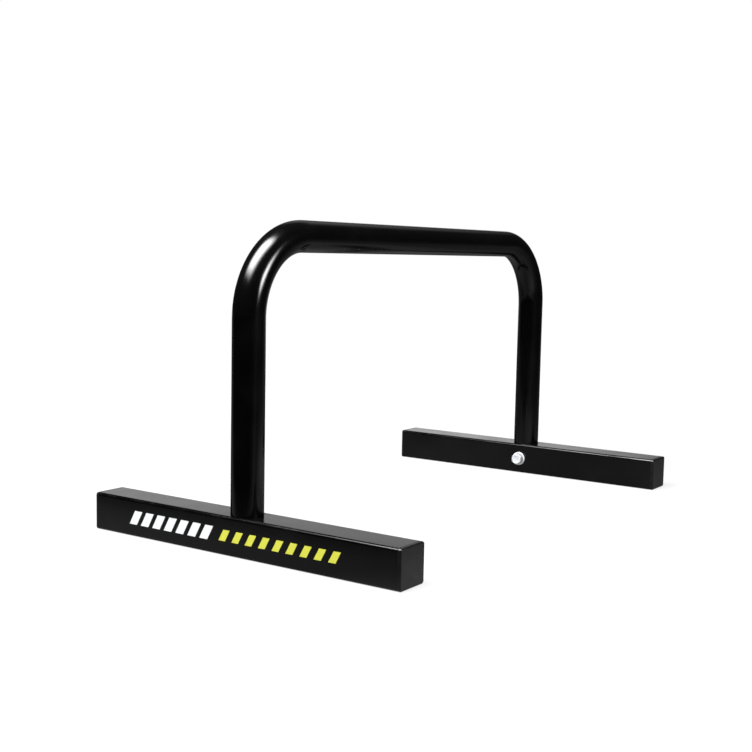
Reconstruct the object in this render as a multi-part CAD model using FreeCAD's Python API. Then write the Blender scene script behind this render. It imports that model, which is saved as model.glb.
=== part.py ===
"""Parallette bar: a bent grip tube whose two legs stand in square tube feet and are bolted there.

Millimetres. X runs along the grip, from the left foot (-X) to the right foot (+X), Y runs along the
feet, from front (-Y) to back (+Y), and Z is up. The origin is on the floor, midway between the feet.
"""

import FreeCAD
import Part

import math
import os

V = FreeCAD.Vector

# Grip tube, bent in one piece
grip_diameter = 33.7
grip_wall = 2.0
bend_radius = 82.0  # of the tube's centre line
leg_spacing = 600.0  # between the two legs' centre lines
total_height = 334.0  # floor to the top of the grip

# Square foot tubes: the leg goes in through the top wall and stands on the bottom wall
foot_wall = 2.0
foot_tube_length = 385.0
foot_inner_corner_radius = 1.0
leg_side_clearance = 1.15  # leg to the foot's side walls
leg_hole_clearance = 0.2  # leg to the edge of its hole in the top wall

# End caps of the feet
cap_head = 4.0  # thickness of the part that shows
cap_edge_radius = 1.4
cap_plug_length = 16.0
cap_plug_wall = 2.0
cap_plug_side_gap = 1.3  # plug's core to the tube, which the ribs bridge
cap_fit_clearance = 0.05  # ribs to the tube
cap_rib = 1.2  # a rib's thickness along the plug
cap_rib_count = 3

# Bolt, one in each foot's inner side
bolt_diameter = 8.0
bolt_length = 20.0  # under the head
bolt_tip_chamfer = 1.0
head_across_flats = 13.0
head_height = 5.3
head_chamfer_drop = 0.7  # how far the top's round chamfer falls to the hexagon's corners
head_collar_height = 0.4  # the round bearing face under the head
bolt_hole_clearance = 0.5

# Washers under the bolt's head
flat_washer_diameter = 18.0
flat_washer_thickness = 1.6
flat_washer_clearance = 0.2
flat_washer_edge = 0.3  # rounding of the punched edge
spring_washer_width = 3.0
spring_washer_thickness = 2.0
spring_washer_clearance = 0.15
spring_washer_split = 1.0
spring_washer_split_angle = 20.0  # degrees, the slant of the split

# Weld nut in the leg
nut_across_flats = 14.0
nut_height = 6.5
nut_pilot_wall = 1.2
nut_pilot_length = 1.0  # how far the pilot reaches into the leg's wall, at the leg's crown
nut_pilot_clearance = 0.1
nut_chamfer_drop = 0.8
nut_weld_gap = 0.05  # nut's saddle to the leg's bore
thread_clearance = 0.05

cut_overrun = 5.0  # how far every cutting body runs past what it cuts

# Worked out from the sizes above
grip_radius = grip_diameter / 2
grip_bore_radius = grip_radius - grip_wall
grip_axis_height = total_height - grip_radius
leg_offset = leg_spacing / 2
foot_inside = grip_diameter + 2 * leg_side_clearance
foot_section = foot_inside + 2 * foot_wall
foot_corner_radius = foot_inner_corner_radius + foot_wall
bolt_height = foot_section / 2
bolt_radius = bolt_diameter / 2
nut_pilot_radius = bolt_radius + thread_clearance + nut_pilot_wall
leg_bolt_hole_radius = nut_pilot_radius + nut_pilot_clearance


def rounded_square(side, radius, y):
    """A square face with round corners, across the Y axis at y, centred on the foot's axis."""
    half = side / 2
    flat = half - radius
    bulge = flat + radius * math.sqrt(0.5)
    edges = []
    for turn in range(4):
        c, s = (1, 0, -1, 0)[turn], (0, 1, 0, -1)[turn]

        def place(a, b, c=c, s=s):
            return V(a * c - b * s, y, a * s + b * c + bolt_height)

        edges.append(Part.LineSegment(place(half, -flat), place(half, flat)).toShape())
        edges.append(Part.Arc(place(half, flat), place(bulge, bulge), place(flat, half)).toShape())
    return Part.Face(Part.Wire(edges))


def square_bar(side, radius, start, length):
    """A round-cornered square bar along +Y."""
    return rounded_square(side, radius, start).extrude(V(0, length, 0))


def bar_along_x(radius, start, length):
    """A round bar along +X on the bolt's axis."""
    return Part.makeCylinder(radius, length, V(start, 0, bolt_height), V(1, 0, 0))


def hexagon_along_x(across_flats, start, length):
    """A hexagonal bar along +X on the bolt's axis, with two corners up and down."""
    corner = across_flats / math.sqrt(3)
    points = []
    for step in range(7):
        angle = math.radians(60 * step)
        points.append(V(start, corner * math.sin(angle), bolt_height + corner * math.cos(angle)))
    return Part.Face(Part.makePolygon(points)).extrude(V(length, 0, 0))


def chamfering_cone(across_flats, drop, tip, length):
    """A bar along +X whose end at tip is coned, so that a hexagon cut by it gets a round chamfer.

    The cone starts at the hexagon's flats and has fallen by drop at the hexagon's corners."""
    flat = across_flats / 2
    corner = across_flats / math.sqrt(3)
    cone = Part.makeCone(flat, corner, drop, V(tip, 0, bolt_height), V(1, 0, 0))
    return cone.fuse(bar_along_x(corner, tip + drop, length - drop))


def turned_about_z(shape):
    """The same piece on the other foot."""
    copy = shape.copy()
    copy.rotate(V(0, 0, 0), V(0, 0, 1), 180)
    return copy


def bent_bar(radius):
    """A solid round bar along the tube's whole centre line: two legs, two bends and the grip."""
    bend_height = grip_axis_height - bend_radius
    bend_offset = leg_offset - bend_radius
    leg = Part.makeCylinder(radius, bend_height - foot_wall, V(leg_offset, 0, foot_wall))
    leg_top = Part.Wire(Part.makeCircle(radius, V(leg_offset, 0, bend_height), V(0, 0, 1)))
    bend = Part.Face(leg_top).revolve(V(bend_offset, 0, bend_height), V(0, -1, 0), 90)
    grip = Part.makeCylinder(
        radius, 2 * bend_offset, V(-bend_offset, 0, grip_axis_height), V(1, 0, 0)
    )
    half = leg.fuse(bend)
    return grip.fuse([half, turned_about_z(half)]).removeSplitter()


def make_grip_tube():
    tube = bent_bar(grip_radius).cut(bent_bar(grip_bore_radius))
    hole_start = leg_offset - grip_radius - cut_overrun
    hole = bar_along_x(leg_bolt_hole_radius, hole_start, grip_radius + cut_overrun)
    return tube.cut(hole).cut(turned_about_z(hole))


def make_foot_tube():
    """The right foot's tube, with the leg's hole in its top and the bolt's hole in its inner side."""
    start = -foot_tube_length / 2
    inside_start = start - cut_overrun
    inside_length = foot_tube_length + 2 * cut_overrun
    outside = square_bar(foot_section, foot_corner_radius, start, foot_tube_length)
    inside = square_bar(foot_inside, foot_inner_corner_radius, inside_start, inside_length)
    tube = outside.cut(inside)
    tube.translate(V(leg_offset, 0, 0))
    leg_hole = Part.makeCylinder(
        grip_radius + leg_hole_clearance,
        foot_section / 2 + cut_overrun,
        V(leg_offset, 0, bolt_height),
    )
    bolt_hole = bar_along_x(
        bolt_radius + bolt_hole_clearance,
        leg_offset - foot_section / 2 - cut_overrun,
        foot_section / 2 + cut_overrun,
    )
    return tube.cut(leg_hole).cut(bolt_hole)


def make_end_cap():
    """The cap in the right foot's back end: a head as wide as the tube, and a hollow ribbed plug."""
    seat = foot_tube_length / 2
    head = square_bar(foot_section, foot_corner_radius, seat, cap_head)
    outer_face = max(head.Faces, key=lambda face: face.CenterOfMass.y)
    head = head.makeFillet(cap_edge_radius, outer_face.Edges)
    core_side = foot_inside - 2 * cap_plug_side_gap
    core = square_bar(core_side, foot_inner_corner_radius, seat - cap_plug_length, cap_plug_length)
    cap = head.fuse(core)
    rib_side = foot_inside - 2 * cap_fit_clearance
    rib_pitch = cap_plug_length / cap_rib_count
    for rib in range(cap_rib_count):
        rib_start = seat - cap_plug_length + rib * rib_pitch
        cap = cap.fuse(square_bar(rib_side, foot_inner_corner_radius, rib_start, cap_rib))
    hollow_side = core_side - 2 * cap_plug_wall
    hollow_start = seat - cap_plug_length - cut_overrun
    hollow_length = cap_plug_length + cut_overrun
    cap = cap.cut(square_bar(hollow_side, foot_inner_corner_radius, hollow_start, hollow_length))
    cap.translate(V(leg_offset, 0, 0))
    return cap.removeSplitter()


def mirrored_front_to_back(shape):
    """The same piece at the foot's other end."""
    return shape.mirror(V(0, 0, 0), V(0, 1, 0))


# Places along the right bolt's axis, each measured in X
inner_side = leg_offset - foot_section / 2
flat_washer_start = inner_side - flat_washer_thickness
spring_washer_start = flat_washer_start - spring_washer_thickness
head_start = spring_washer_start - head_height
leg_crown = leg_offset - grip_radius
nut_start = leg_offset - grip_bore_radius


def make_bolt():
    """Hex head with a round top chamfer, a bearing collar under it, and a chamfered shank."""
    hexagon_length = head_height - head_collar_height
    head = hexagon_along_x(head_across_flats, head_start, hexagon_length)
    head = head.common(
        chamfering_cone(head_across_flats, head_chamfer_drop, head_start, hexagon_length)
    )
    collar_start = head_start + hexagon_length
    collar = bar_along_x(head_across_flats / 2, collar_start, head_collar_height)
    tip = spring_washer_start + bolt_length
    shank = bar_along_x(bolt_radius, spring_washer_start, bolt_length - bolt_tip_chamfer)
    point = Part.makeCone(
        bolt_radius,
        bolt_radius - bolt_tip_chamfer,
        bolt_tip_chamfer,
        V(tip - bolt_tip_chamfer, 0, bolt_height),
        V(1, 0, 0),
    )
    return head.fuse(collar).fuse(shank).fuse(point).removeSplitter()


def make_flat_washer():
    washer = bar_along_x(flat_washer_diameter / 2, flat_washer_start, flat_washer_thickness)
    outer_face = min(washer.Faces, key=lambda face: face.CenterOfMass.x)
    washer = washer.makeFillet(flat_washer_edge, outer_face.Edges)
    hole_radius = bolt_radius + flat_washer_clearance
    hole_length = flat_washer_thickness + 2 * cut_overrun
    return washer.cut(bar_along_x(hole_radius, flat_washer_start - cut_overrun, hole_length))


def make_spring_washer():
    """One turn of square wire, pressed flat, with a slanted split at the top."""
    inner_radius = bolt_radius + spring_washer_clearance
    outer_radius = inner_radius + spring_washer_width
    ring = bar_along_x(outer_radius, spring_washer_start, spring_washer_thickness)
    hole_length = spring_washer_thickness + 2 * cut_overrun
    ring = ring.cut(bar_along_x(inner_radius, spring_washer_start - cut_overrun, hole_length))
    split = Part.makeBox(
        spring_washer_thickness + 2 * cut_overrun,
        spring_washer_split,
        outer_radius + cut_overrun,
        V(spring_washer_start - cut_overrun, -spring_washer_split / 2, bolt_height),
    )
    middle = V(spring_washer_start + spring_washer_thickness / 2, 0, bolt_height)
    split.rotate(middle, V(0, 0, 1), spring_washer_split_angle)
    return ring.cut(split)


def make_weld_nut():
    """Hex nut with a saddle that follows the leg's bore, and a pilot that centres it in the hole."""
    back = nut_start + nut_height
    hexagon = hexagon_along_x(nut_across_flats, nut_start, nut_height)
    chamfer = chamfering_cone(nut_across_flats, nut_chamfer_drop, -back, nut_height)
    chamfer.rotate(V(0, 0, bolt_height), V(0, 0, 1), 180)
    bore = Part.makeCylinder(
        grip_bore_radius - nut_weld_gap,
        foot_section,
        V(leg_offset, 0, 0),
    )
    body = hexagon.common(chamfer).common(bore)
    pilot_start = leg_crown + grip_wall - nut_pilot_length
    pilot = bar_along_x(nut_pilot_radius, pilot_start, nut_pilot_length + nut_height / 2)
    thread = bar_along_x(
        bolt_radius + thread_clearance,
        pilot_start - cut_overrun,
        nut_pilot_length + nut_height + 2 * cut_overrun,
    )
    return body.fuse(pilot).cut(thread).removeSplitter()


def both_sides(name, shape):
    """The piece on the right foot, and the same piece turned round to the left foot."""
    return {f"right_{name}": shape, f"left_{name}": turned_about_z(shape)}


def make_parts():
    back_cap = make_end_cap()
    front_cap = mirrored_front_to_back(back_cap)
    parts = {"grip_tube": make_grip_tube()}
    parts.update(both_sides("foot_tube", make_foot_tube()))
    parts.update(
        {
            "right_back_end_cap": back_cap,
            "right_front_end_cap": front_cap,
            "left_back_end_cap": turned_about_z(front_cap),
            "left_front_end_cap": turned_about_z(back_cap),
        }
    )
    parts.update(both_sides("bolt", make_bolt()))
    parts.update(both_sides("flat_washer", make_flat_washer()))
    parts.update(both_sides("spring_washer", make_spring_washer()))
    parts.update(both_sides("weld_nut", make_weld_nut()))
    return parts


def main():
    os.makedirs("parts", exist_ok=True)
    for name, shape in make_parts().items():
        shape.exportStep(f"parts/{name}.step")
        box = shape.BoundBox
        print(
            f"{name}: solids {len(shape.Solids)}, valid {shape.isValid()}, volume {shape.Volume:.1f}, "
            f"x {box.XMin:.2f} {box.XMax:.2f}, y {box.YMin:.2f} {box.YMax:.2f}, "
            f"z {box.ZMin:.2f} {box.ZMax:.2f}"
        )


main()
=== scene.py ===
import math

import bmesh
import bpy
import numpy as np
from mathutils import Matrix, Vector


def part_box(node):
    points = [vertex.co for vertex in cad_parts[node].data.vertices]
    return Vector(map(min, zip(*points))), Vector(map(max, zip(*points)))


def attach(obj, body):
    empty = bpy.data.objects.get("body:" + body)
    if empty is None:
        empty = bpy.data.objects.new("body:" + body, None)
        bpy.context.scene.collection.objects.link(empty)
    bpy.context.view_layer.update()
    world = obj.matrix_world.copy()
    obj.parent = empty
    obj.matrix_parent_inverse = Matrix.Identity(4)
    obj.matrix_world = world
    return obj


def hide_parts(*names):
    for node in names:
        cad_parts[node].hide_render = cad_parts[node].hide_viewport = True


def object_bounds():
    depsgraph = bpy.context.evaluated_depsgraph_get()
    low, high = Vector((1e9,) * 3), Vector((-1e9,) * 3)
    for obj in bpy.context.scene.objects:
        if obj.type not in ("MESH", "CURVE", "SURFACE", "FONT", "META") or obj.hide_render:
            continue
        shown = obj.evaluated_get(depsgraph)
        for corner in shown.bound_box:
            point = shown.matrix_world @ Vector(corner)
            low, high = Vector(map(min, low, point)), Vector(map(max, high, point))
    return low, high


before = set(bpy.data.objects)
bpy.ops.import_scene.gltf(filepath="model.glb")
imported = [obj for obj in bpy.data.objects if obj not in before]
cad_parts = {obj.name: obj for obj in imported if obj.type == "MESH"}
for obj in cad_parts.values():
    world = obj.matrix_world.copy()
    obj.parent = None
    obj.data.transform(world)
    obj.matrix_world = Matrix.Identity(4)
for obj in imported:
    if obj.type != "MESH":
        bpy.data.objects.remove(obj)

cadLow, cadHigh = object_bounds()
mm = 0.001
mergeDistance = 0.001 * mm  # points closer than this are one point
sharpEdge = 35  # degrees; an edge that turns by more is shaded sharp

# half a turn about Z takes a piece of the right foot to the left one
sides = {"left": np.array((-1.0, -1.0, 1.0)), "right": np.array((1.0, 1.0, 1.0))}

gripLow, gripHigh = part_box("grip_tube")
gripRadius = (gripHigh.y - gripLow.y) / 2
gripHeight = gripHigh.z - gripRadius  # of the bar's centre line
legOffset = gripHigh.x - gripRadius
footLow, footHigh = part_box("right_foot_tube")
footHalf = (footHigh.x - footLow.x) / 2
footMiddle = (footLow.x + footHigh.x) / 2
boltHeight = (footLow.z + footHigh.z) / 2
print("frame loaded:", len(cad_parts), "nodes")


# a grid of points (rows, columns, 3) becomes quads between neighbours; columns always join round, and rows
# join too where the sheet closes on itself; points that fall together are merged, which closes the poles
def pieceFromGrid(name, points, rowsJoin, sharpAngle=sharpEdge):
    rows, columns = points.shape[:2]
    row = np.arange(rows if rowsJoin else rows - 1)[:, None]
    column = np.arange(columns)[None, :]
    nextRow = (row + 1) % rows
    nextColumn = (column + 1) % columns
    corners = [
        row * columns + column,
        row * columns + nextColumn,
        nextRow * columns + nextColumn,
        nextRow * columns + column,
    ]
    quads = np.stack(np.broadcast_arrays(*corners), -1).reshape(-1, 4)
    mesh = bpy.data.meshes.new(name)
    mesh.from_pydata(points.reshape(-1, 3).tolist(), [], quads.tolist())
    tidy = bmesh.new()
    tidy.from_mesh(mesh)
    bmesh.ops.remove_doubles(tidy, verts=tidy.verts, dist=mergeDistance)
    bmesh.ops.dissolve_degenerate(tidy, edges=tidy.edges, dist=mergeDistance)
    bmesh.ops.recalc_face_normals(tidy, faces=tidy.faces)
    tidy.to_mesh(mesh)
    tidy.free()
    piece = bpy.data.objects.new(name, mesh)
    bpy.context.scene.collection.objects.link(piece)
    smoothShading(mesh, sharpAngle)
    return piece


# smooth faces, except across edges that turn by more than the sharp angle
def smoothShading(mesh, sharpAngle):
    mesh.polygons.foreach_set("use_smooth", np.ones(len(mesh.polygons), dtype=bool))
    mesh.set_sharp_from_angle(angle=math.radians(sharpAngle))
    mesh.update()


# takes the cutters' volume out of a piece and forgets the cutters
def drill(piece, cutters):
    for cutter in cutters:
        cut = piece.modifiers.new("cut", "BOOLEAN")
        cut.operation = "DIFFERENCE"
        cut.solver = "EXACT"
        cut.object = cutter
    graph = bpy.context.evaluated_depsgraph_get()
    drilled = bpy.data.meshes.new_from_object(piece.evaluated_get(graph))
    piece.modifiers.clear()
    blank = piece.data
    piece.data = drilled
    bpy.data.meshes.remove(blank)
    drilled.name = piece.name
    for cutter in cutters:
        shape = cutter.data
        bpy.data.objects.remove(cutter)
        bpy.data.meshes.remove(shape)
    smoothShading(drilled, sharpEdge)


# each corner of an outline gives way to two points, reach along its two sides but never past the given share
# of a side
def cutCorners(outline, reach, closed, sideShare=0.45):
    def towards(shift):
        side = np.roll(outline, shift, 0) - outline
        length = np.linalg.norm(side, axis=-1, keepdims=True)
        return outline + side * np.minimum(reach / np.maximum(length, mergeDistance), sideShare)

    pairs = np.stack([towards(1), towards(-1)], 1).reshape(-1, *outline.shape[1:])
    if closed:
        return pairs
    return np.concatenate([outline[:1], pairs[2:-2], outline[-1:]])


# rows of (along, radius), one per angle, carried round a bolt's axis: along runs in X, and the angle starts
# upward
def spunAboutBolt(outline, angles, start, height):
    along = outline[..., 0]
    radius = outline[..., 1]
    x = np.broadcast_to(start + along, radius.shape)
    return np.stack([x, radius * np.sin(angles), height + radius * np.cos(angles)], -1)


# a square of the given half width with round corners, as points (across, up): on every quarter a point on
# the flat, an arc about the corner's centre and a point on the next flat; halves and radii are arrays
def roundedSquare(half, radius, arcSteps=12, support=0.4 * mm):
    half = half[..., None]
    radius = radius[..., None]
    flat = half - radius
    step = np.minimum(support, flat / 2)
    sweep = np.linspace(0, math.pi / 2, arcSteps + 1)
    across = np.concatenate([half, flat + radius * np.cos(sweep), flat - step], -1)
    up = np.concatenate([flat - step, flat + radius * np.sin(sweep), half], -1)
    quarters = [(across, up), (-up, across), (-across, -up), (up, -across)]
    return np.concatenate([np.stack(quarter, -1) for quarter in quarters], -2)


# a plain round cutter from low to high along one axis, "x" or "z"; its outline runs from the axis out to the
# radius, along it and back in
def roundCutter(radius, axis, centre, low, high, aroundSteps=96):
    turn = np.linspace(0, 2 * math.pi, aroundSteps, endpoint=False)
    ends = np.array((low, low, high, high))[:, None]
    reach = np.array((0.0, radius, radius, 0.0))[:, None]
    first = centre[0] + reach * np.cos(turn)
    second = centre[1] + reach * np.sin(turn)
    along = np.broadcast_to(ends, first.shape)
    axes = [along, first, second] if axis == "x" else [first, second, along]
    return pieceFromGrid("cutter", np.stack(axes, -1), rowsJoin=False)


class Flow:
    # a socket whose sums are written as Python expressions; each sum adds one Math node

    def __init__(self, board, socket):
        self.board = board
        self.socket = socket

    def maths(self, operation, first, second):
        return self.board.node("ShaderNodeMath", {"operation": operation}, {0: first, 1: second})

    def __add__(self, other):
        return self.maths("ADD", self, other)

    def __radd__(self, other):
        return self.maths("ADD", other, self)

    def __sub__(self, other):
        return self.maths("SUBTRACT", self, other)

    def __rsub__(self, other):
        return self.maths("SUBTRACT", other, self)

    def __mul__(self, other):
        return self.maths("MULTIPLY", self, other)

    def __rmul__(self, other):
        return self.maths("MULTIPLY", other, self)

    def __truediv__(self, other):
        return self.maths("DIVIDE", self, other)

    def __mod__(self, other):
        return self.maths("FLOORED_MODULO", self, other)

    def __neg__(self):
        return self.maths("MULTIPLY", -1.0, self)

    def __abs__(self):
        return self.board.node("ShaderNodeMath", {"operation": "ABSOLUTE"}, {0: self})

    def least(self, other):
        return self.maths("MINIMUM", self, other)

    def most(self, other):
        return self.maths("MAXIMUM", self, other)

    def sign(self):
        return self.board.node("ShaderNodeMath", {"operation": "SIGN"}, {0: self})

    # 0 below low, 1 above high, an easy curve between
    def rise(self, low, high):
        sockets = {"Value": self, "From Min": low, "From Max": high}
        return self.board.node("ShaderNodeMapRange", {"interpolation_type": "SMOOTHSTEP"}, sockets)


class Board:
    # the node tree of one material, lamp or world

    def __init__(self, owner):
        owner.use_nodes = True
        self.tree = owner.node_tree
        self.tree.nodes.clear()

    # one node of any type: settings first, then each socket's value or link; gives back one of its outputs
    def node(self, kind, settings, sockets, output=0):
        made = self.tree.nodes.new(kind)
        for name, value in settings.items():
            if name == "stops":
                fillRamp(made.color_ramp, value)
            else:
                setattr(made, name, value)
        for key, value in sockets.items():
            if isinstance(value, Flow):
                self.tree.links.new(value.socket, made.inputs[key])
            else:
                made.inputs[key].default_value = value
        return Flow(self, made.outputs[output]) if made.outputs else None

    # where a point lies on its object, in metres
    def place(self):
        return self.node("ShaderNodeTexCoord", {}, {}, "Object")

    # a vector's x, y and z
    def axes(self, vector):
        split = self.node("ShaderNodeSeparateXYZ", {}, {"Vector": vector})
        return [Flow(self, socket) for socket in split.socket.node.outputs]

    # 1 for rays of one kind, such as Camera or Glossy, otherwise 0
    def ray(self, kind):
        return self.node("ShaderNodeLightPath", {}, {}, f"Is {kind} Ray")

    def stretched(self, vector, scale):
        return self.node("ShaderNodeVectorMath", {"operation": "MULTIPLY"}, {0: vector, 1: scale})

    # noise whose blobs are about size metres across
    def noise(self, vector, size, detail=2.0, roughness=0.5):
        sockets = {"Vector": vector, "Scale": 1 / size, "Detail": detail, "Roughness": roughness}
        return self.node("ShaderNodeTexNoise", {}, sockets)

    def mix(self, factor, first, second):
        return self.node("ShaderNodeMix", {"data_type": "RGBA"}, {0: factor, 6: first, 7: second}, 2)

    def bump(self, height, distance):
        return self.node("ShaderNodeBump", {}, {"Height": height, "Distance": distance, "Strength": 1.0})

    def glow(self, strength):
        return self.node("ShaderNodeEmission", {}, {"Color": colour(1, 1, 1), "Strength": strength})

    def surface(self, sockets):
        shader = self.node("ShaderNodeBsdfPrincipled", {}, sockets)
        self.node("ShaderNodeOutputMaterial", {}, {"Surface": shader})


# gives a ramp its stops, each a position and a colour
def fillRamp(ramp, stops):
    while len(ramp.elements) < len(stops):
        ramp.elements.new(0.5)
    for element, (position, tint) in zip(ramp.elements, stops):
        element.position = position
        element.color = tint


# a solid colour from its three parts
def colour(red, green, blue):
    return (red, green, blue, 1.0)


# in each finish, a name that ends in From holds the two noise levels between which that effect sets in
gripFinish = {
    "paint": colour(0.0010, 0.0010, 0.0011),
    "haze": colour(0.0020, 0.0020, 0.0022),  # a breath of dust in the low spots
    "hazeFrom": (0.45, 0.80),
    "cloudSize": 45 * mm,
    "roughness": 0.13,
    "roughnessSpread": 0.05,
    "dullFrom": (0.35, 0.70),
    "ior": 1.5,
    "peelSize": 1.7 * mm,
    "peelDepth": 0.010 * mm,
    "grainSize": 0.35 * mm,
    "grainShare": 0.18,
    "scuffLength": 26 * mm,
    "scuffWidth": 0.5 * mm,
    "scuffFrom": (0.62, 0.78),
    "scuffRoughness": 0.07,
    "handZone": (0.12, 0.20),  # hands hold the grip inside this distance from the middle
}


# clouds of haze and dullness, orange peel with a fine grain, and scuffs along the bar where hands slide
def makeGripPaint():
    finish = gripFinish
    material = bpy.data.materials.new("gripPaint")
    board = Board(material)
    place = board.place()
    x = board.axes(place)[0]
    cloud = board.noise(place, finish["cloudSize"], detail=3.0)
    peel = board.noise(place, finish["peelSize"], detail=1.0)
    grain = board.noise(place, finish["grainSize"])
    narrow = 1 / finish["scuffWidth"]
    streaks = board.stretched(place, (1 / finish["scuffLength"], narrow, narrow))
    scuff = board.noise(streaks, size=1.0).rise(*finish["scuffFrom"])
    rub = scuff * (1 - abs(x).rise(*finish["handZone"]))
    dull = cloud.rise(*finish["dullFrom"])
    board.surface({
        "Base Color": board.mix(cloud.rise(*finish["hazeFrom"]), finish["paint"], finish["haze"]),
        "Roughness": finish["roughness"] + finish["roughnessSpread"] * dull + finish["scuffRoughness"] * rub,
        "IOR": finish["ior"],
        "Normal": board.bump(peel + finish["grainShare"] * grain, finish["peelDepth"]),
    })
    return material


footFinish = {
    "paint": colour(0.0010, 0.0010, 0.0011),
    "haze": colour(0.0026, 0.0026, 0.0028),
    "hazeFrom": (0.45, 0.80),
    "cloudSize": 38 * mm,
    "roughness": 0.13,
    "roughnessSpread": 0.06,
    "dullFrom": (0.35, 0.70),
    "ior": 1.5,
    "peelSize": 1.9 * mm,
    "peelDepth": 0.014 * mm,
    "grainSize": 0.4 * mm,
    "grainShare": 0.18,
    "edge": colour(0.006, 0.006, 0.0063),  # the coat is thinner on the corners
    "edgeShare": 0.6,
    "edgeBand": (2.2 * mm, 0.66 * mm),  # inward from the faces, from nothing to full
    "wearSize": 6 * mm,
    "wearFrom": (0.50, 0.72),
    "wearRoughness": 0.1,
}
footPrint = {
    "white": colour(0.77, 0.78, 0.79),
    "yellow": colour(0.60, 0.61, 0.055),
    "middle": 20.5 * mm,  # above the floor
    "slant": 0.55,
    "softEdge": 0.12 * mm,
    # each row of dashes: where it starts along the foot, how many, step, dash width and height
    "whiteRow": (-141 * mm, 7, 16.5 * mm, 10.6 * mm, 14.5 * mm),
    "yellowRow": (-17 * mm, 9, 17.0 * mm, 8.4 * mm, 11.5 * mm),
    "faceBand": (0.3 * mm, 0.1 * mm),  # inward from the outer face, from nothing to full
    "pinholeSize": 0.5 * mm,
    "pinholeFrom": (0.70, 0.74),
    "inkDepth": 0.03 * mm,
    "inkRoughness": 0.22,
}


# 1 inside a row of slanted dashes: distance to the nearest dash's centre line, to the row's ends and to its
# middle height, each eased over the soft edge
def dashRow(along, up, row):
    start, count, step, width, height = row
    end = start + (count - 1) * step + width
    soft = footPrint["softEdge"]
    fromDash = abs((along - (start + width / 2 - step / 2)) % step - step / 2)
    inDash = 1 - fromDash.rise(width / 2 - soft, width / 2 + soft)
    gap = (step - width) / 2
    inRow = along.rise(start - gap - soft, start - gap) * (1 - along.rise(end + gap, end + gap + soft))
    inHeight = 1 - abs(up).rise(height / 2 - soft, height / 2 + soft)
    return inDash * inRow * inHeight


# the grip's kind of paint, worn along the long corners, with the two rows of dashes on each outer face
def makeFootPaint():
    finish = footFinish
    material = bpy.data.materials.new("footPaint")
    board = Board(material)
    place = board.place()
    x, y, z = board.axes(place)
    cloud = board.noise(place, finish["cloudSize"], detail=3.0)
    peel = board.noise(place, finish["peelSize"], detail=1.0)
    grain = board.noise(place, finish["grainSize"])
    # near a long corner both the distance across and the distance up come close to half the section
    nearest = abs(abs(x) - footMiddle).least(abs(z - boltHeight))
    bandStart, bandEnd = finish["edgeBand"]
    corner = nearest.rise(footHalf - bandStart, footHalf - bandEnd)
    wear = corner * board.noise(place, finish["wearSize"], detail=4.0).rise(*finish["wearFrom"])
    # the print on each outer side reads from left to right
    raised = z - footPrint["middle"]
    along = y * x.sign() - raised * footPrint["slant"]
    bandStart, bandEnd = footPrint["faceBand"]
    outer = abs(x).rise(footHigh.x - bandStart, footHigh.x - bandEnd)
    pinholes = board.noise(place, footPrint["pinholeSize"]).rise(*footPrint["pinholeFrom"])
    printed = outer * (1 - pinholes)
    white = dashRow(along, raised, footPrint["whiteRow"]) * printed
    yellow = dashRow(along, raised, footPrint["yellowRow"]) * printed
    ink = white.most(yellow)
    paint = board.mix(cloud.rise(*finish["hazeFrom"]), finish["paint"], finish["haze"])
    paint = board.mix(wear * finish["edgeShare"], paint, finish["edge"])
    paint = board.mix(white, paint, footPrint["white"])
    paint = board.mix(yellow, paint, footPrint["yellow"])
    dull = cloud.rise(*finish["dullFrom"])
    roughness = finish["roughness"] + finish["roughnessSpread"] * dull + finish["wearRoughness"] * wear
    height = (peel + finish["grainShare"] * grain) * finish["peelDepth"] + ink * footPrint["inkDepth"]
    board.surface({
        "Base Color": paint,
        "Roughness": roughness + ink * footPrint["inkRoughness"],
        "IOR": finish["ior"],
        "Normal": board.bump(height, distance=1.0),
    })
    return material


capFinish = {
    "plastic": colour(0.0012, 0.0012, 0.0013),
    "bloom": colour(0.0045, 0.0045, 0.0048),
    "bloomFrom": (0.35, 0.72),
    "cloudSize": 14 * mm,
    "roughness": 0.27,
    "roughnessSpread": 0.12,
    "ior": 1.5,
    "sparkSize": 0.28 * mm,
    "sparkDepth": 0.012 * mm,
    "poreSize": 1.1 * mm,
    "poreFrom": (0.30, 0.70),
    "poreShare": 0.6,
}


# pale bloom in clouds, and the mould's spark texture with coarser pores
def makeCapPlastic():
    finish = capFinish
    material = bpy.data.materials.new("capPlastic")
    board = Board(material)
    place = board.place()
    cloud = board.noise(place, finish["cloudSize"], detail=4.0, roughness=0.6)
    spark = board.noise(place, finish["sparkSize"], detail=3.0, roughness=0.7)
    pores = board.noise(place, finish["poreSize"])
    board.surface({
        "Base Color": board.mix(cloud.rise(*finish["bloomFrom"]), finish["plastic"], finish["bloom"]),
        "Roughness": finish["roughness"] + finish["roughnessSpread"] * pores.rise(*finish["poreFrom"]),
        "IOR": finish["ior"],
        "Normal": board.bump(spark + finish["poreShare"] * pores, finish["sparkDepth"]),
    })
    return material


zincFinish = {
    "bright": colour(0.80, 0.805, 0.81),
    "blue": colour(0.72, 0.75, 0.79),
    "blueFrom": (0.40, 0.65),
    "cloudSize": 5 * mm,
    "warm": colour(0.77, 0.75, 0.69),
    "warmFrom": (0.58, 0.75),
    "warmShare": 0.5,
    "driftSize": 8 * mm,
    # painted shade: the joint round the spring washer, between the head and the flat washer, goes nearly
    # black
    "jointShade": colour(0.05, 0.05, 0.055),
    "jointShadeShare": 0.9,
    "jointShadeReach": 0.5 * mm,
    "metallic": 0.45,
    "roughness": 0.36,
    "roughnessSpread": 0.16,
    "grainSize": 0.16 * mm,
    "grainFrom": (0.30, 0.70),
    "grainDepth": 0.006 * mm,
}
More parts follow.
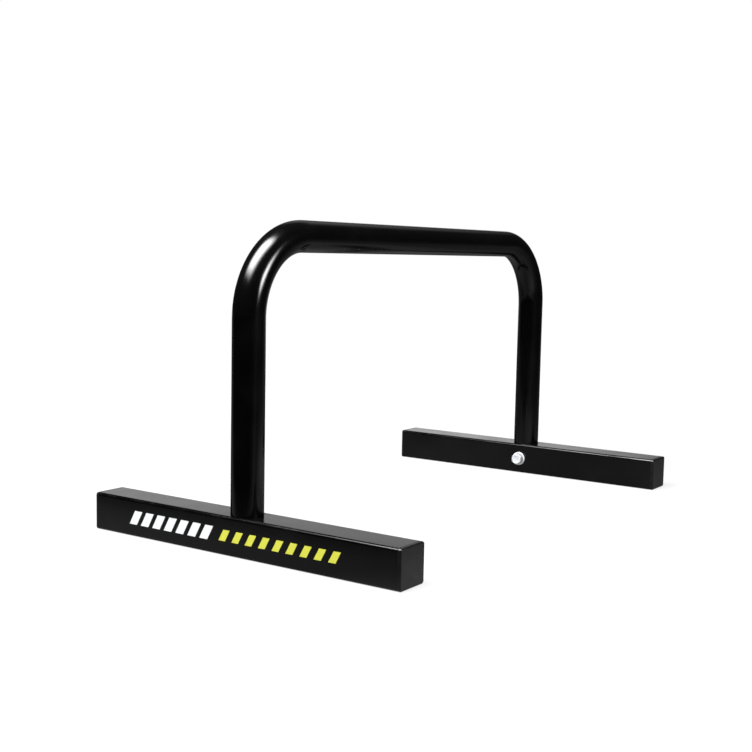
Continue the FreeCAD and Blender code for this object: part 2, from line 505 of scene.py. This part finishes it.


# bluish and warm clouds over bright plate, a fine grain, and painted shade, near black, over the joint round
# the spring washer between the head and the flat washer
def makeZincPlate():
    finish = zincFinish
    material = bpy.data.materials.new("zincPlate")
    board = Board(material)
    place = board.place()
    cloud = board.noise(place, finish["cloudSize"])
    drift = board.noise(place, finish["driftSize"], detail=1.0)
    grain = board.noise(place, finish["grainSize"], detail=3.0, roughness=0.6)
    tint = board.mix(cloud.rise(*finish["blueFrom"]), finish["bright"], finish["blue"])
    tint = board.mix(drift.rise(*finish["warmFrom"]) * finish["warmShare"], tint, finish["warm"])
    # painted shade: over the span along X that the spring washer takes, where the head shades the joint,
    # every zinc piece goes nearly black
    low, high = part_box("right_spring_washer")
    outward = abs(board.axes(place)[0])
    pastHead = outward.rise(low.x - finish["jointShadeReach"], low.x)
    shadedJoint = pastHead * (1 - outward.rise(high.x - finish["jointShadeReach"], high.x))
    tint = board.mix(shadedJoint * finish["jointShadeShare"], tint, finish["jointShade"])
    board.surface({
        "Base Color": tint,
        "Metallic": finish["metallic"],
        "Roughness": finish["roughness"] + finish["roughnessSpread"] * grain.rise(*finish["grainFrom"]),
        "Normal": board.bump(grain, finish["grainDepth"]),
    })
    return material


nutFinish = {
    # how hot each colour was: plain steel, straw, blue and dark scale
    "heatStops": [
        (0.10, colour(0.42, 0.41, 0.40)),
        (0.45, colour(0.55, 0.38, 0.18)),
        (0.70, colour(0.14, 0.17, 0.30)),
        (0.95, colour(0.13, 0.11, 0.10)),
    ],
    "heatInset": 0.5 * mm,
    "heatWander": 2.5 * mm,
    "cloudSize": 3 * mm,
    "metalLoss": 0.5,
    "roughness": 0.38,
    "heatRoughness": 0.25,
    "grainRoughness": 0.12,
    "grainSize": 0.25 * mm,
    "grainDepth": 0.01 * mm,
}


# heat grows along X towards the weld at the leg's wall, with a wandering front, and colours the steel
def makeNutSteel():
    finish = nutFinish
    low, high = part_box("right_weld_nut")
    material = bpy.data.materials.new("nutSteel")
    board = Board(material)
    place = board.place()
    x = board.axes(place)[0]
    cloud = board.noise(place, finish["cloudSize"], detail=3.0)
    grain = board.noise(place, finish["grainSize"], detail=3.0)
    inset = finish["heatInset"]
    fromWeld = abs(x) + (cloud - 0.5) * finish["heatWander"]
    heat = 1 - fromWeld.rise(low.x + inset, high.x - inset)
    board.surface({
        "Base Color": board.node("ShaderNodeValToRGB", {"stops": finish["heatStops"]}, {"Fac": heat}),
        "Metallic": 1 - finish["metalLoss"] * heat,
        "Roughness": finish["roughness"] + finish["heatRoughness"] * heat + finish["grainRoughness"] * grain,
        "Normal": board.bump(grain, finish["grainDepth"]),
    })
    return material


gripPaint = makeGripPaint()
footPaint = makeFootPaint()
capPlastic = makeCapPlastic()
zincPlate = makeZincPlate()
nutSteel = makeNutSteel()
print("finishes made:", len(bpy.data.materials))


# stands a finished piece in for its CAD node
def standIn(piece, node, body, material):
    piece.data.materials.clear()
    piece.data.materials.append(material)
    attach(piece, body)
    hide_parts(node)


gripTube = {
    "bendRadius": 82 * mm,  # of the centre line
    "wall": 2 * mm,
    "endEase": 0.3 * mm,  # deburred ends
    "boltHole": 5.35 * mm,  # radius
    "aroundSteps": 160,
    "legSteps": 8,
    "bendSteps": 72,
    "barSteps": 24,
    "insideBendSteps": 36,
}


# centre line as (x, z, heading): straight up one leg, a quarter circle, along the bar, a quarter circle and
# down the other leg, which mirrors the first
def gripCentreLine(bendSteps, endInset):
    bend = gripTube["bendRadius"]
    bendHeight = gripHeight - bend
    barEnd = legOffset - bend
    start = gripLow.z + endInset
    quarter = np.linspace(0, math.pi / 2, bendSteps + 1)
    leg = np.linspace(start, bendHeight, gripTube["legSteps"] + 1)[:-1]
    bar = np.linspace(-barEnd, barEnd, gripTube["barSteps"] + 1)[1:-1]
    xs = [np.full(len(leg), -legOffset), -barEnd - bend * np.cos(quarter), bar]
    zs = [leg, bendHeight + bend * np.sin(quarter), np.full(len(bar), gripHeight)]
    headings = [np.full(len(leg), math.pi / 2), math.pi / 2 - quarter, np.zeros(len(bar))]
    xs += [-xs[1][::-1], -xs[0][::-1]]
    zs += [zs[1][::-1], zs[0][::-1]]
    headings += [-headings[1][::-1], -headings[0][::-1]]
    return np.concatenate(xs), np.concatenate(zs), np.concatenate(headings)


# a circle carried along the centre line: each ring lies square to the heading
def gripRings(radius, bendSteps, endInset):
    x, z, heading = gripCentreLine(bendSteps, endInset)
    turn = np.linspace(0, 2 * math.pi, gripTube["aroundSteps"], endpoint=False)
    out = radius * np.cos(turn)[None, :]
    side = radius * np.sin(turn)[None, :]
    ringX = x[:, None] - np.sin(heading)[:, None] * out
    ringZ = z[:, None] + np.cos(heading)[:, None] * out
    return np.stack([ringX, np.broadcast_to(side, ringX.shape), ringZ], -1)


# outside rings from end to end and inside rings back again, joined over the eased ends, then the bolt holes
def makeGripTube():
    ease = gripTube["endEase"]
    outside = gripRings(gripRadius, gripTube["bendSteps"], ease)
    eased = gripRings(gripRadius - ease, 1, 0.0)  # only its two ends are used
    inside = gripRings(gripRadius - gripTube["wall"], gripTube["insideBendSteps"], 0.0)
    rows = [eased[:1], outside, eased[-1:], inside[::-1]]
    tube = pieceFromGrid("grip_tube_painted", np.concatenate(rows), rowsJoin=True)
    holes = []
    for side in (-1, 1):
        low, high = sorted((side * (legOffset - 2 * gripRadius), side * legOffset))
        holes.append(roundCutter(gripTube["boltHole"], "x", (0.0, boltHeight), low, high))
    drill(tube, holes)
    standIn(tube, "grip_tube", "frame", gripPaint)


makeGripTube()
print("grip tube bent")


footTube = {
    "wall": 2 * mm,
    "cornerRadius": 3 * mm,
    "insideRadius": 1 * mm,
    "endEase": 0.2 * mm,
    "legHole": 17.05 * mm,  # radius
    "boltHole": 4.5 * mm,  # radius
    "overrun": 5 * mm,
}


# rows of round-cornered squares, each (y, half width, corner radius), standing across the foot
def footRings(rows):
    y, half, radius = (np.array(column, float) for column in zip(*rows))
    section = roundedSquare(half, radius)
    across = footMiddle + section[..., 0]
    up = boltHeight + section[..., 1]
    return np.stack([across, np.broadcast_to(y[:, None], across.shape), up], -1)


# squares along the outside, with eased ends, joined through the inside, then the leg's hole and the bolt's
def makeFootTubes():
    wall, ease = footTube["wall"], footTube["endEase"]
    corner, insideCorner = footTube["cornerRadius"], footTube["insideRadius"]
    inside = footHalf - wall
    front, back = footLow.y, footHigh.y
    rows = [
        (front, inside, insideCorner),
        (front, footHalf - ease, corner - ease),
        (front + ease, footHalf, corner),
        (back - ease, footHalf, corner),
        (back, footHalf - ease, corner - ease),
        (back, inside, insideCorner),
    ]
    points = footRings(rows)
    over = footTube["overrun"]
    for name, turn in sides.items():
        foot = pieceFromGrid(f"{name}_foot_painted", points * turn, rowsJoin=True)
        side = turn[0]
        low, high = sorted((side * (footLow.x - over), side * footMiddle))
        holes = [
            roundCutter(footTube["legHole"], "z", (side * footMiddle, 0.0), boltHeight, footHigh.z + over),
            roundCutter(footTube["boltHole"], "x", (0.0, boltHeight), low, high),
        ]
        drill(foot, holes)
        standIn(foot, f"{name}_foot_tube", "frame", footPaint)


makeFootTubes()
print("feet drilled")


endCap = {
    "rimRadius": 1.4 * mm,
    "rimSteps": 8,
    "seatEase": 0.25 * mm,
    "plugGap": 1.3 * mm,  # plug's core to the tube
    "plugWall": 2 * mm,
    "fitGap": 0.05 * mm,
    "ribCount": 3,
    "ribThickness": 1.2 * mm,
    "ribLead": 0.5 * mm,
    "cornerRadius": 1 * mm,
}
capLow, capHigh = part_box("right_back_end_cap")


# the cap as rows of round-cornered squares: from the middle of its hollow out along the plug with its ribs,
# round the head's rim and in to the middle of its face
def capRows():
    seat = footHigh.y
    face = capHigh.y
    plugEnd = capLow.y
    tubeInside = footHalf - footTube["wall"]
    core = tubeInside - endCap["plugGap"]
    hollow = core - endCap["plugWall"]
    rib = tubeInside - endCap["fitGap"]
    corner = endCap["cornerRadius"]
    ribStep = (seat - plugEnd) / endCap["ribCount"]
    lead, thick = endCap["ribLead"], endCap["ribThickness"]
    ease, rim = endCap["seatEase"], endCap["rimRadius"]
    headCorner = footTube["cornerRadius"]
    rows = [
        (seat, 0.0, 0.0),
        (seat, hollow - lead, corner),
        (seat - lead, hollow, corner),
        (plugEnd, hollow, corner),
    ]
    for number in range(endCap["ribCount"]):
        start = plugEnd + number * ribStep
        rows += [
            (start, core, corner),
            (start + lead, rib, corner),
            (start + thick, rib, corner),
            (start + thick, core, corner),
        ]
    rows += [
        (seat, core, corner),
        (seat, footHalf - ease, headCorner - ease),
        (seat + ease, footHalf, headCorner),
    ]
    for sweep in np.linspace(0, math.pi / 2, endCap["rimSteps"] + 1):
        inset = rim * (1 - math.cos(sweep))
        rows.append((face - rim + rim * math.sin(sweep), footHalf - inset, headCorner - inset))
    flatEdge = footHalf - rim - ease
    rows += [
        (face, flatEdge, headCorner - rim - ease),
        (face, flatEdge / 2, corner / 2),
        (face, 0.0, 0.0),
    ]
    return rows


# one cap's rows, mirrored to the other end and turned to the other foot
def makeEndCaps():
    points = footRings(capRows())
    ends = {"back": 1.0, "front": -1.0}
    for name, turn in sides.items():
        for end, way in ends.items():
            # the left foot's back end is the right foot's front end, turned
            mirror = np.array((1.0, way * turn[1], 1.0))
            piece = pieceFromGrid(f"{name}_{end}_cap_moulded", points * mirror * turn, rowsJoin=False)
            standIn(piece, f"{name}_{end}_end_cap", "frame", capPlastic)


makeEndCaps()
print("end caps moulded")


bolt = {
    "acrossFlats": 13 * mm,
    "cornerEase": 0.35 * mm,  # radius of the hexagon's corners
    "chamferDrop": 0.7 * mm,
    "dishDepth": 0.45 * mm,  # the top is pressed in, as cold-headed bolts are
    "dishRadius": 3.4 * mm,
    "dishRim": 4.4 * mm,
    "collarHeight": 0.4 * mm,
    "collarInset": 0.1 * mm,  # inside the flats
    "headHeight": 5.3 * mm,
    "diameter": 8 * mm,
    "pitch": 1.25 * mm,
    "threadDepth": 0.70 * mm,
    "threadStart": 1.4 * mm,  # plain neck under the head
    "flankSlope": 2.3,  # thread depths per half pitch
    "rootShare": 0.35,  # of a thread depth cut off the flanks' foot, which leaves the root flat
    "rowsPerPitch": 14,
    "tipChamfer": 1 * mm,
    "edgeCut": 0.12 * mm,
    "rowGap": 0.02 * mm,  # keeps neighbouring rows apart
    "aroundSteps": 144,
    "sharpAngle": 42,  # degrees
}
boltLow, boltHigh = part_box("right_bolt")


# a hexagon's radius at each angle, a corner at angle 0: flat over the cosine of the angle from the flat's
# middle, and near a corner the far side of a small circle that eases it
def hexagonRadius(angles, flat, ease):
    sector = math.pi / 3
    fromCorner = np.abs((angles + sector / 2) % sector - sector / 2)
    straight = flat / np.cos(sector / 2 - fromCorner)
    centre = (flat - ease) / math.cos(sector / 2)
    inside = np.maximum(ease**2 - (centre * np.sin(fromCorner)) ** 2, 0.0)
    eased = centre * np.cos(fromCorner) + np.sqrt(inside)
    nearCorner = centre * math.sin(sector / 2) <= straight * np.sin(sector / 2 - fromCorner)
    return np.where(nearCorner, eased, straight)


# rows of (along, radius) from the dish's middle over the top's edge and down the hexagon to the shank; the
# top's cone falls by the chamfer's drop from the flats to the corners
def boltHeadRows(angles):
    around = np.ones_like(angles)
    flat = bolt["acrossFlats"] / 2
    hexagon = hexagonRadius(angles, flat, bolt["cornerEase"])
    corner = flat / math.cos(math.pi / 6)
    coneDrop = bolt["chamferDrop"] * (hexagon - flat) / (corner - flat)
    dish = bolt["dishDepth"] * around
    top = 0 * around
    hexEnd = (bolt["headHeight"] - bolt["collarHeight"]) * around
    underHead = bolt["headHeight"] * around
    collar = flat * around - bolt["collarInset"]
    rows = [
        (dish, 0 * around),
        (dish, bolt["dishRadius"] * around),
        (top, bolt["dishRim"] * around),
        (top, flat * around - bolt["rowGap"]),
        (coneDrop + bolt["rowGap"], hexagon),
        (hexEnd, hexagon),
        (hexEnd, collar),
        (underHead, collar),
        (underHead, bolt["diameter"] / 2 * around),
    ]
    outline = np.stack([np.stack(row, -1) for row in rows])
    return cutCorners(outline, bolt["edgeCut"], closed=False)


# the shank's radius: a wave of one pitch with flat crests, straight flanks and flat roots, which climbs with
# the angle and is cut by the tip's cone
def boltShankRows(angles):
    radius = bolt["diameter"] / 2
    length = boltHigh.x - boltLow.x
    start = bolt["headHeight"]
    count = int((length - start) / bolt["pitch"] * bolt["rowsPerPitch"])
    along = np.linspace(start + bolt["rowGap"], length, count)[:, None]
    phase = (along / bolt["pitch"] + angles[None, :] / (2 * math.pi)) % 1.0
    ridge = np.clip(bolt["flankSlope"] * np.abs(2 * phase - 1) - bolt["rootShare"], 0.0, 1.0)
    runIn = np.clip((along - start - bolt["threadStart"]) / bolt["pitch"], 0.0, 1.0)
    threaded = radius - bolt["threadDepth"] * (1 - ridge) * runIn
    cone = radius - bolt["tipChamfer"] + (length - along)
    shank = np.minimum(threaded, cone)
    alongAll = np.broadcast_to(along, shank.shape)
    tip = np.stack([np.full_like(angles, length), 0 * angles], -1)[None]
    return np.concatenate([np.stack([alongAll, shank], -1), tip])


# head and shank as one outline, carried round the bolt's axis
def makeBolts():
    angles = np.linspace(0, 2 * math.pi, bolt["aroundSteps"], endpoint=False)
    outline = np.concatenate([boltHeadRows(angles), boltShankRows(angles)])
    points = spunAboutBolt(outline, angles, boltLow.x, boltHeight)
    sharp = bolt["sharpAngle"]
    for name, turn in sides.items():
        piece = pieceFromGrid(f"{name}_bolt_plated", points * turn, rowsJoin=False, sharpAngle=sharp)
        standIn(piece, f"{name}_bolt", f"{name}_screw", zincPlate)


makeBolts()
print("bolts threaded")


flatWasher = {
    "hole": 4.2 * mm,  # radius
    "outerEdge": 0.3 * mm,
    "edgeSteps": 5,
    "burr": 0.08 * mm,
    "aroundSteps": 128,
}
springWasher = {
    "hole": 4.15 * mm,  # radius
    "split": 1 * mm,
    "slant": 20,  # degrees
    "edge": 0.22 * mm,
    "secondEdgeShare": 0.3,  # the edges are cut twice, by this share the second time
    "endShare": 0.6,  # of the section, as the wire's ends close
    "arcSteps": 120,
}


# a ring's outline carried round the bolt: punched edge rounded on the outside, a fine burr edge elsewhere
def makeFlatWashers():
    low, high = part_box("right_flat_washer")
    outer = (high.y - low.y) / 2
    thick = high.x - low.x
    hole, edge, burr = flatWasher["hole"], flatWasher["outerEdge"], flatWasher["burr"]
    angles = np.linspace(0, 2 * math.pi, flatWasher["aroundSteps"], endpoint=False)
    arc = np.linspace(math.pi / 2, 0, flatWasher["edgeSteps"] + 1)
    rounded = np.stack([edge - edge * np.sin(arc), outer - edge + edge * np.cos(arc)], -1)
    back = [(thick - burr, outer), (thick, outer - burr), (thick, hole + burr)]
    bore = [(thick - burr, hole), (burr, hole), (0.0, hole + burr)]
    outline = np.concatenate([rounded, back, bore])
    rows = np.broadcast_to(outline[:, None, :], (len(outline), len(angles), 2))
    points = spunAboutBolt(rows, angles, low.x, boltHeight)
    for name, turn in sides.items():
        piece = pieceFromGrid(f"{name}_flat_washer_plated", points * turn, rowsJoin=True)
        standIn(piece, f"{name}_flat_washer", f"{name}_washers", zincPlate)


# a square wire section carried round one turn; each point starts and stops at the slanted split's two sides,
# and at both ends the section shrinks to its middle to close the wire
def makeSpringWashers():
    low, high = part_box("right_spring_washer")
    outer = (high.y - low.y) / 2
    inner = springWasher["hole"]
    thick = high.x - low.x
    edge = springWasher["edge"]
    square = np.array([(0.0, inner), (thick, inner), (thick, outer), (0.0, outer)])
    section = cutCorners(square, edge, closed=True)
    section = cutCorners(section, springWasher["secondEdgeShare"] * edge, closed=True)
    middle = section.mean(0)
    share = np.concatenate([[0.0, 0.0], np.linspace(0, 1, springWasher["arcSteps"]), [1.0, 1.0]])
    shrink = np.ones(len(share))
    shrink[[0, -1]] = 0.0
    shrink[[1, -2]] = springWasher["endShare"]
    outline = middle + (section - middle)[None] * shrink[:, None, None]
    slant = math.radians(springWasher["slant"])
    lean = math.tan(slant) * (outline[..., 0] - thick / 2)
    half = springWasher["split"] / 2 / math.cos(slant)
    begin = np.arcsin((half - lean) / outline[..., 1])
    end = 2 * math.pi + np.arcsin((-half - lean) / outline[..., 1])
    angles = begin + share[:, None] * (end - begin)
    points = spunAboutBolt(outline, angles, low.x, boltHeight)
    for name, turn in sides.items():
        piece = pieceFromGrid(f"{name}_spring_washer_plated", points * turn, rowsJoin=False)
        standIn(piece, f"{name}_spring_washer", f"{name}_washers", zincPlate)


makeFlatWashers()
makeSpringWashers()
print("washers punched")

for name in sides:
    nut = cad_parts[f"{name}_weld_nut"]
    nut.data.materials.clear()
    nut.data.materials.append(nutSteel)
print("nuts tinted")


stage = {
    "floorDrop": 0.3 * mm,
    "floorHalf": 8.0,
    "floorGrey": 0.10,
    "shadowDepth": 0.20,
    "shadowZone": (0.45, 1.2),
    "bounce": 0.80,  # white floor as matt surfaces meet it
    # gloss sees the floor as shaded grey, which fades out on all sides; a fade is its share, start and end
    "shadeGrey": 0.155,
    "shadeFar": (0.24, 0.05, 0.25),  # a little lighter at the far foot
    "shadeFront": (-0.58, -0.29),
    "shadeSoften": 3.0,
    "shadeSoftenFrom": -0.3,
    "shadeNear": 0.10,  # lighter strip along the near foot's outer side
    "shadeNearFrom": (-0.48, -0.37),
    "fadeBack": (0.60, 0.12, 0.50),
    "fadeRight": (0.65, 0.45, 1.20),
    "fadeFar": (0.35, 0.30, 0.78),
    "shadeTurn": (0.66, -0.20, 0.20),  # lighter to the left
    # brighter spots: right of the legs and at each cap, each its grey, middle and reach
    "glows": [
        (0.28, (0.056, -0.353, 0.0), (0.03, 0.38)),
        (0.36, (-0.249, -0.20, 0.0), (0.01, 0.145)),
        (0.07, (0.43, -0.28, 0.0), (0.03, 0.25)),
    ],
    "behindGrey": 0.60,
    "behindFrom": (0.9, 3.4),
    "behindLeft": (-0.6, 0.6),
    "roomGrey": 0.02,
    "backdropTowards": (0.82, 0.57),
    "backdropAhead": (0.0, 0.1),  # none behind the camera
    "backdropRight": (-0.42, -0.05),  # sines of the angle to its middle, from nothing to full
    "backdropLeft": (0.22, 0.46),  # from full to nothing
    "backdropFoot": (-0.02, 0.10),  # sines of the elevation, from nothing to full
    "backdropTop": (0.12, 0.36),  # from full to nothing
}


# a factor that eases from 1 to 1 + share between start and end
def more(place, change):
    share, start, end = change
    return 1 + share * place.rise(start, end)


# a factor that eases from 1 to 1 - share between start and end
def less(place, change):
    share, start, end = change
    return 1 - share * place.rise(start, end)


# a flat sheet just under the feet: white to the camera with the lamps' shadow, shaded grey to gloss, and
# white to matt surfaces
def makeFloor():
    half = stage["floorHalf"]
    height = cadLow.z - stage["floorDrop"]
    corners = [(-half, -half, height), (half, -half, height), (half, half, height), (-half, half, height)]
    mesh = bpy.data.meshes.new("floor")
    mesh.from_pydata(corners, [], [(0, 1, 2, 3)])
    floor = bpy.data.objects.new("floor", mesh)
    bpy.context.scene.collection.objects.link(floor)
    material = bpy.data.materials.new("floorWhite")
    board = Board(material)
    place = board.place()
    x, y = board.axes(place)[:2]
    # near the object the white gives way a little, so that the lamps' shadow shows
    fromMiddle = board.node("ShaderNodeVectorMath", {"operation": "LENGTH"}, {0: place}, "Value")
    white = 1 - stage["shadowDepth"] * (1 - fromMiddle.rise(*stage["shadowZone"]))
    grey = stage["floorGrey"]
    lit = board.node("ShaderNodeBsdfDiffuse", {}, {"Color": colour(grey, grey, grey)})
    seen = board.node("ShaderNodeAddShader", {}, {0: lit, 1: board.glow(white)})
    # the front edge of the shade grows softer towards the right
    edgeStart, edgeEnd = stage["shadeFront"]
    softer = 1 + stage["shadeSoften"] * (stage["shadeSoftenFrom"] - y).most(0.0)
    front = ((x - edgeEnd) / softer).rise(edgeStart - edgeEnd, 0.0)
    shade = stage["shadeGrey"] * front * more(x, stage["shadeFar"])
    shade = shade * less(y, stage["fadeBack"]) * less(-y, stage["fadeRight"]) * less(x, stage["fadeFar"])
    shade = shade * (more(y, stage["shadeTurn"]) - stage["shadeTurn"][0] / 2)
    pastNearFoot = x.rise(-legOffset - footHalf, -legOffset + footHalf)
    shade = shade + stage["shadeNear"] * x.rise(*stage["shadeNearFrom"]) * (1 - pastNearFoot)
    shade = shade + stage["behindGrey"] * x.rise(*stage["behindFrom"]) * y.rise(*stage["behindLeft"])
    for spotGrey, middle, reach in stage["glows"]:
        away = board.node("ShaderNodeVectorMath", {"operation": "DISTANCE"}, {0: place, 1: middle}, "Value")
        shade = shade + spotGrey * (1 - away.rise(*reach))
    shade = shade + stage["bounce"] * board.ray("Diffuse")
    shaders = {0: board.ray("Camera"), 1: board.glow(shade), 2: seen}
    board.node("ShaderNodeOutputMaterial", {}, {"Surface": board.node("ShaderNodeMixShader", {}, shaders)})
    mesh.materials.append(material)


# white to the camera; gloss sees a dim room with a white backdrop low behind the object
def makeWorld():
    world = bpy.data.worlds.new("studio")
    bpy.context.scene.world = world
    board = Board(world)
    towards = board.node("ShaderNodeTexCoord", {}, {}, "Generated")
    x, y, z = board.axes(towards)
    middleX, middleY = stage["backdropTowards"]
    ahead = (middleX * x + middleY * y).rise(*stage["backdropAhead"])
    left = middleX * y - middleY * x
    backdrop = ahead * left.rise(*stage["backdropRight"]) * (1 - left.rise(*stage["backdropLeft"]))
    backdrop = backdrop * z.rise(*stage["backdropFoot"]) * (1 - z.rise(*stage["backdropTop"]))
    mirrored = board.ray("Glossy").most(board.ray("Transmission"))
    room = stage["roomGrey"] + backdrop * mirrored
    camera = board.ray("Camera")
    strength = camera + (1 - camera) * room
    glow = board.node("ShaderNodeBackground", {}, {"Color": colour(1, 1, 1), "Strength": strength})
    board.node("ShaderNodeOutputWorld", {}, {"Surface": glow})


softboxes = {
    # places, sizes and hems as the near bend's streaks mirror them
    "overhead": {
        "place": (-0.667, 0.322, 1.645),
        "faces": (0.778, 0.294, -0.938),
        "along": (-0.987, 0.164, 0.0),
        "size": (2.143, 1.804),
        "glow": 30.0,
        "hems": (0.282, 0.243, 0.549, 0.308),
        "lean": 0.186,
    },
    "front": {
        "place": (-0.087, -0.76, 0.519),
        "faces": (-0.243, 0.93, -0.279),
        "along": (0.917, 0.398, 0.151),
        "size": (0.564, 0.353),
        "glow": 30.0,
        "hems": (0.339, 0.553, 0.545, 0.481),
        "lean": 0.0,
    },
    # a far dim panel, which the grip's top mirrors
    "back": {
        "place": (3.787, 1.440, 3.125),
        "faces": (-0.703, -0.439, -0.559),
        "along": (-0.53, 0.848, 0.0),
        "size": (4.46, 2.68),
        "glow": 0.35,
        "hems": (0.66, 0.30, 0.5, 0.5),
        "lean": 0.0,
    },
}


# a lamp panel; power is glow times pi times area, and the cloth fades over its hems, which are shares of the
# panel's width (first, last) and height (low, high); lean is how far its sides slant from the lower edge to
# the upper one, as a share of the width
def makeSoftboxes():
    for name, box in softboxes.items():
        lamp = bpy.data.lights.new(name, "AREA")
        lamp.shape = "RECTANGLE"
        lamp.size, lamp.size_y = box["size"]
        lamp.energy = box["glow"] * math.pi * lamp.size * lamp.size_y
        board = Board(lamp)
        spot = board.node("ShaderNodeNewGeometry", {}, {}, "Parametric")
        u, v = board.axes(spot)[:2]
        first, last, low, high = box["hems"]
        inset = box["lean"] / 2
        side = u + box["lean"] * (v - 0.5)
        hem = side.rise(inset, inset + first) * (1 - side).rise(inset, inset + last)
        hem = hem * v.rise(0, low) * (1 - v).rise(0, high)
        board.node("ShaderNodeOutputLight", {}, {"Surface": board.glow(hem)})
        place = Vector(box["place"])
        back = -Vector(box["faces"]).normalized()
        up = back.cross(Vector(box["along"])).normalized()
        along = up.cross(back)
        panel = bpy.data.objects.new(name, lamp)
        panel.matrix_world = Matrix.Translation(place) @ Matrix((along, up, back)).transposed().to_4x4()
        bpy.context.scene.collection.objects.link(panel)


view = {
    "place": (-1.1849, -0.7581, 0.3010),
    "lookAt": (-0.0241, 0.0369, 0.1556),
    "roll": 1.13,  # degrees
    "lens": 56.65,
    "sensor": 36.0,
}


# a camera turned from its place towards what it looks at, then rolled about its own axis
def makeCamera():
    lens = bpy.data.cameras.new("camera")
    lens.lens = view["lens"]
    lens.sensor_width = view["sensor"]
    camera = bpy.data.objects.new("camera", lens)
    place = Vector(view["place"])
    turn = (Vector(view["lookAt"]) - place).to_track_quat("-Z", "Y").to_matrix()
    roll = Matrix.Rotation(math.radians(view["roll"]), 3, "Z")
    camera.matrix_world = Matrix.Translation(place) @ (turn @ roll).to_4x4()
    bpy.context.scene.collection.objects.link(camera)
    bpy.context.scene.camera = camera


makeFloor()
makeWorld()
makeSoftboxes()
makeCamera()
bpy.context.scene.view_settings.view_transform = "Standard"
print("stage set")
